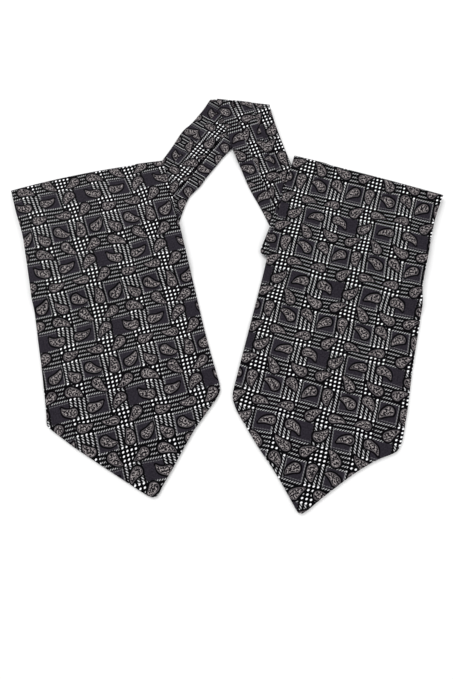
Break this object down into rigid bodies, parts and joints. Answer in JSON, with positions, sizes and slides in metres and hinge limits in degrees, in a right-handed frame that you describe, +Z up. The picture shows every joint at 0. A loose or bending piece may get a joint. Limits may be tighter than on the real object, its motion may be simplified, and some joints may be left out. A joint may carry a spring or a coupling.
{
  "type": "silk cravat",
  "caption": "Silk day cravat laid flat: two wide pointed blades, each folded near its top, joined by a pleated neckband folded at the neck.",
  "frame": {"origin": "on the surface that the cravat lies on, under the middle of its box", "axes": "+Z up off the surface; +X from the left blade to the right blade, as seen from the points; +Y from the points to the fold at the back of the neck"},
  "size_m": [0.446, 0.4322, 0.0082],
  "materials": {
    "blade_silk": "charcoal woven silk, small check and paisley, soft sheen",
    "blade_back_silk": "the same silk on the back panels",
    "band_silk": "the same silk, pressed in pleats",
    "tuck_silk": "the same silk, folded under the blades"
  },
  "bodies": {
    "root": {"left_blade_front": "blade_silk", "left_blade_back": "blade_back_silk", "left_tuck": "tuck_silk", "left_band": "band_silk", "right_band": "band_silk", "right_tuck": "tuck_silk", "right_blade_front": "blade_silk", "right_blade_back": "blade_back_silk"}
  },
  "joints": []
}
